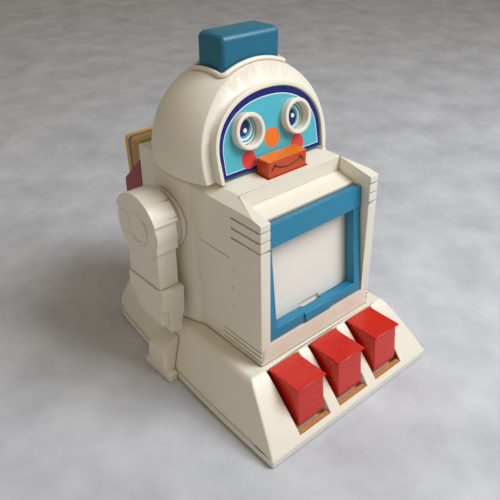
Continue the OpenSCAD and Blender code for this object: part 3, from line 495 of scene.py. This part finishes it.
modify(hat, "SOLIDIFY", thickness=hat_wall, offset=-1)
# The same blue as the window, rubbed a little duller where hands press it.
hat_blue = moulded("rubbed_blue_abs", "#0F6A88", 0.34, 0.08, 0.5)
dress(smooth(hat, 40), hat_blue, "blue_abs", "hat", "hat_button")

# ---------------------------------------------------------------- shoulders and arms
# Each arm is a hollow cream moulding that turns on a steel pin in stepped rings at the torso's side.
# A round boss covers the pin, and the hand is a second moulding plugged up into the arm.
for side, body in (("left", "arm_l"), ("right", "arm_r")):
    dress(softened("shoulder_rings_" + side, "rings_" + side, 0.7, 3, 0.5), cream, "cream_abs", "shell",
          "shoulder_rings_" + side)
    dress(softened("arm_" + side, "arm_moulding_" + side, 0.45, 3, 2), cream, "cream_abs", body,
          "arm_" + side)
    dress(softened("hand_" + side, "hand_moulding_" + side, 0.7), cream, "cream_abs", body, "hand_" + side)
    dress(softened("shoulder_boss_" + side, "boss_" + side, 0.3, 3, 0.5), cream, "cream_abs", body,
          "shoulder_boss_" + side)

# ---------------------------------------------------------------- card box, rack and cards
# A cream box on the back holds a dark red tray, glued to it, in which the quiz cards stand leaning.
# Dark red ABS, duller than the keys.
dark_red = moulded("dark_red_abs", "#96323F", 0.4, 0.06, 0.7)
dress(softened("card_box", "rear_box", 0.9), cream, "cream_abs", "shell", "card_box")
dress(softened("card_rack", "card_tray", 0.6), dark_red, "rack_red", "shell", "card_rack")


def printed_card(name, colour):
    """Coated card: flat ink with a low gloss, rubbed pale in small patches by handling."""
    worn_mm = 3.125

    def rubbed(tree, place, under):
        worn = add_node(tree, "ShaderNodeTexNoise", {"Scale": 1 / (worn_mm * MM), "Detail": 5},
                        {"Vector": place})
        mask = add_node(tree, "ShaderNodeMapRange",
                        {"From Min": 0.6, "From Max": 0.78, "To Min": 0.0, "To Max": 0.4},
                        {"Value": worn.outputs["Fac"]})
        return add_node(tree, "ShaderNodeMix", {"data_type": "RGBA", 7: linear("#EFEADB")},
                        {0: mask.outputs["Result"], 6: under}).outputs[2]
    return moulded(name, colour, 0.5, 0.06, 0.35, art=rubbed)


# Only the edges through a card's thickness are shorter than this, and a die cuts them round.
card_edge = 2 * MM
card_corner = 4 * MM
for tone, colour in (("olive", "#A9A463"), ("orange", "#E58A3A"), ("blue", "#3B7DB2"),
                     ("yellow", "#E3B83A")):
    cards = merged("cards_" + tone, "quiz_cards_" + tone, whole=True)
    bpy.ops.object.mode_set(mode="EDIT")
    bpy.ops.mesh.select_mode(type="EDGE")
    bpy.ops.mesh.select_all(action="DESELECT")
    shape = bmesh.from_edit_mesh(cards.data)
    for edge in shape.edges:
        edge.select = edge.calc_length() < card_edge
    shape.select_flush_mode()
    bmesh.update_edit_mesh(cards.data)
    bpy.ops.mesh.bevel(offset=card_corner, segments=6, affect="EDGES")
    bpy.ops.object.mode_set(mode="OBJECT")
    dress(smooth(cards), printed_card("card_" + tone, colour), "card_" + tone, "shell", "cards_" + tone)

# ---------------------------------------------------------------- mechanism
# Gears, rack and guides are natural acetal; springs, pins and screws are plated steel. They sit inside
# the mouldings and hardly show, so they keep the shapes of the CAD model.
# Natural acetal: milky white, waxy, with almost no texture.
acetal = moulded("natural_acetal", "#E9E7DF", 0.42, 0.03, 0.8)
# Plated steel: bright, with fine drawing lines of about a millimetre in its gloss.
drawn_mm = 1.0
steel, steel_tree, steel_shader, steel_place = new_material("plated_steel")
steel_shader.inputs["Metallic"].default_value = 1.0
steel_shader.inputs["Base Color"].default_value = linear("#B9B9B6")
lines = add_node(steel_tree, "ShaderNodeTexNoise", {"Scale": 1 / (drawn_mm * MM), "Detail": 3},
                 {"Vector": steel_place})
steel_gloss = add_node(steel_tree, "ShaderNodeMapRange", {"To Min": 0.22, "To Max": 0.42},
                       {"Value": lines.outputs["Fac"]})
steel_tree.links.new(steel_gloss.outputs["Result"], steel_shader.inputs["Roughness"])
steel_bump = add_node(steel_tree, "ShaderNodeBump", {"Strength": 0.12, "Distance": 0.03 * MM},
                      {"Height": lines.outputs["Fac"]})
steel_tree.links.new(steel_bump.outputs["Normal"], steel_shader.inputs["Normal"])
# Every CAD node that still shows gets the finish of its record slot.
finish = {"spring_steel": steel, "white_pom": acetal, "face_print": teal}
slots = {row["node"]: row["material_slot"] for row in frame["record"]["subparts"]}
for node, part in frame["nodes"].items():
    if not part.hide_render:
        part.data.materials.clear()
        part.data.materials.append(finish.get(slots[node], cream))

# ---------------------------------------------------------------- floor, light and camera
# The robot stands on a pale matt table. A soft lamp high at the front right makes its shadow, a weak
# warm one fills from the left, and the camera looks down at it from the front left.
bpy.ops.object.select_all(action="DESELECT")
bpy.ops.mesh.primitive_plane_add(size=6)
floor = bpy.context.object
floor.name = "floor"
# Pale grey table top: matt, with soft cloudy mottling of a few centimetres.
mottle_mm = 62.5
table, table_tree, table_shader, table_place = new_material("pale_table")
mottle = add_node(table_tree, "ShaderNodeTexNoise",
                  {"Scale": 1 / (mottle_mm * MM), "Detail": 9, "Roughness": 0.62},
                  {"Vector": table_place})
table_tone = add_node(table_tree, "ShaderNodeMix",
                      {"data_type": "RGBA", 6: linear("#989CA5"), 7: linear("#E6EBF3")},
                      {0: mottle.outputs["Fac"]})
table_tree.links.new(table_tone.outputs[2], table_shader.inputs["Base Color"])
table_shader.inputs["Roughness"].default_value = 0.75
floor.data.materials.append(table)

world = bpy.data.worlds.new("studio")
bpy.context.scene.world = world
world.use_nodes = True
room = world.node_tree.nodes["Background"]
room.inputs["Color"].default_value = linear("#FFEFD8")
room.inputs["Strength"].default_value = 0.28


def area_light(name, place, aim, size, power, colour):
    """A square studio lamp aimed at a point."""
    light = bpy.data.lights.new(name, "AREA")
    light.size = size
    light.energy = power
    light.color = linear(colour)[:3]
    lamp = bpy.data.objects.new(name, light)
    bpy.context.scene.collection.objects.link(lamp)
    lamp.location = place
    lamp.rotation_euler = (Vector(aim) - Vector(place)).to_track_quat("-Z", "Y").to_euler()


chest = (0, 0, 0.1)
area_light("window_light", (0.42, -0.6, 0.98), chest, 0.6, 12.2, "#FBFCFF")
area_light("fill_light", (-0.9, -0.5, 0.6), chest, 1.0, 1.2, "#FFEBD0")

# The lens is shifted a little to the side and down, and the camera is rolled by half a degree.
camera_data = bpy.data.cameras.new("camera")
camera_data.lens = 45.5
camera_data.shift_x = -0.021
camera_data.shift_y = -0.0153
camera = bpy.data.objects.new("camera", camera_data)
bpy.context.scene.collection.objects.link(camera)
camera.location = (-0.26733, -0.30230, 0.33344)
look = Vector((0.57499, 0.62840, -0.52392)).to_track_quat("-Z", "Y")
camera_roll = Matrix.Rotation(math.radians(0.46), 3, "Z").to_quaternion()
camera.rotation_euler = (look @ camera_roll).to_euler()
bpy.context.scene.camera = camera
bpy.context.scene.view_settings.view_transform = "Standard"
